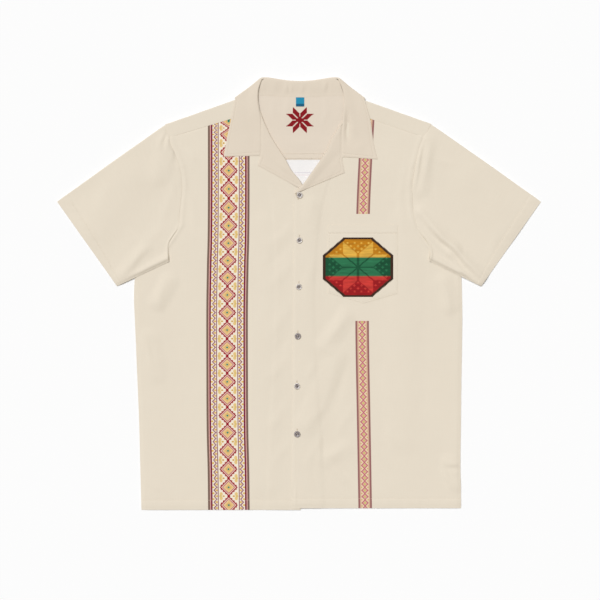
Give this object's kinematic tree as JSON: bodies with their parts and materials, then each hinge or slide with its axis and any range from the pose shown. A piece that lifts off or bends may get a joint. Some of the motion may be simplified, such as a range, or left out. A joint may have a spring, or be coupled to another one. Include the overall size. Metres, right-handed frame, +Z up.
{
  "type": "hawaiian shirt laid flat",
  "caption": "Short-sleeved camp shirt laid flat on its back: turned-back collar and lapels, buttoned front, patch chest pocket.",
  "frame": {"origin": "on the surface the shirt lies on, under the middle of its outline", "axes": "+X from the wearer's right sleeve to the left one, +Y from the hem to the collar, +Z up from the surface"},
  "size_m": [0.847, 0.7568, 0.0096],
  "materials": {
    "shirt_cloth": "plain-woven cream cloth, matt",
    "sash_front_cloth": "cream cloth printed with a woven-sash band down each front",
    "pocket_cloth": "cream cloth printed with a stepped lozenge in three bands",
    "back_cloth": "cream outside, unprinted white inside",
    "label_cloth": "plain teal woven label",
    "button_pearl": "smoky pearl, polished"
  },
  "bodies": {
    "root": {"back_panel": "back_cloth", "back_yoke": "shirt_cloth", "yoke_facing": "shirt_cloth", "front_right": "sash_front_cloth", "front_left": "sash_front_cloth", "lapel_right": "shirt_cloth", "lapel_left": "shirt_cloth", "collar": "shirt_cloth", "pocket": "pocket_cloth", "sleeve_right": "shirt_cloth", "sleeve_left": "shirt_cloth", "neck_label": "label_cloth", "button_1": "button_pearl", "button_2": "button_pearl", "button_3": "button_pearl", "button_4": "button_pearl", "button_5": "button_pearl", "button_6": "button_pearl"}
  },
  "joints": []
}
